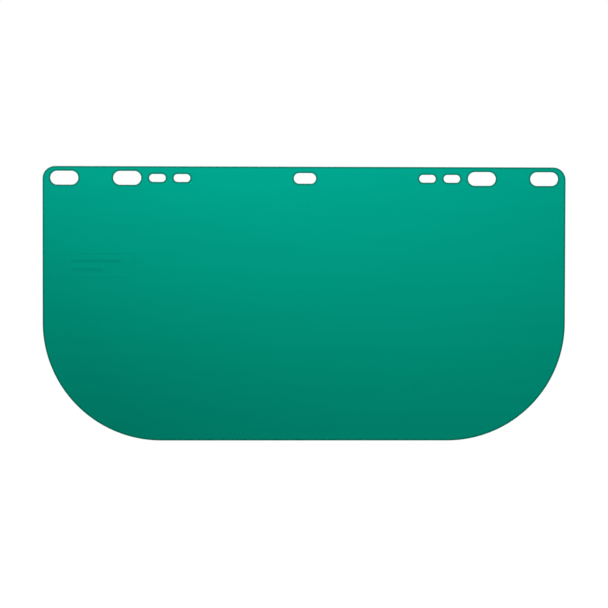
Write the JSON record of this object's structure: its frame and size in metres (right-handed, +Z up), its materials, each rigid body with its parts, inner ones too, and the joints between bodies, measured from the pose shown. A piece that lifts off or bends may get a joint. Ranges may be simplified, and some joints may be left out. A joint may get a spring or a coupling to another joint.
{
  "type": "face shield window",
  "caption": "Flat face shield window of see-through green plastic: a wide thin sheet with a slotted top edge, small upper corners and large rounded lower corners.",
  "frame": {"origin": "middle of the centre slot, half way through the thickness", "axes": "+X along the slotted top edge, to the right when the outer face is looked at; +Z up, towards the slotted edge as the window hangs on a headgear; the outer face looks along -Y and the wearer's side along +Y"},
  "size_m": [0.3938, 0.001, 0.2064],
  "materials": {
    "tinted_polycarbonate": "clear green-tinted polycarbonate sheet, polished on both faces, with die-cut edges"
  },
  "bodies": {
    "root": {"window": "tinted_polycarbonate"}
  },
  "joints": []
}
